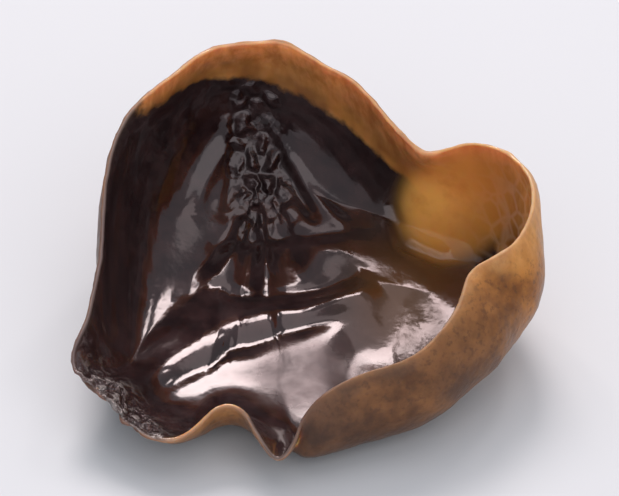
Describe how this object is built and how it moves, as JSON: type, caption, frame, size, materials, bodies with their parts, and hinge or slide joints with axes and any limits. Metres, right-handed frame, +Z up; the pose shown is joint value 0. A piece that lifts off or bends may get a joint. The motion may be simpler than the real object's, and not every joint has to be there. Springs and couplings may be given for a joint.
{
  "type": "wood ear mushroom",
  "caption": "Soaked wood ear mushroom: a thin, rubbery, cup-shaped fungus with an amber margin, a small side lobe and a short cut foot, used as a cooking ingredient.",
  "frame": {"origin": "centre of the ear's own bounding box in X and Y, on the plane it rests on", "axes": "+Z up from the plane it rests on; the cup opens upwards and towards -Y, and its highest wall and its foot are at +Y"},
  "size_m": [0.0552, 0.0552, 0.0264],
  "materials": {
    "ear_flesh": "wet, gelatinous flesh, dark purple-brown inside, matte tan-brown outside, amber at the thin margin"
  },
  "bodies": {
    "root": {"ear": "ear_flesh"}
  },
  "joints": []
}
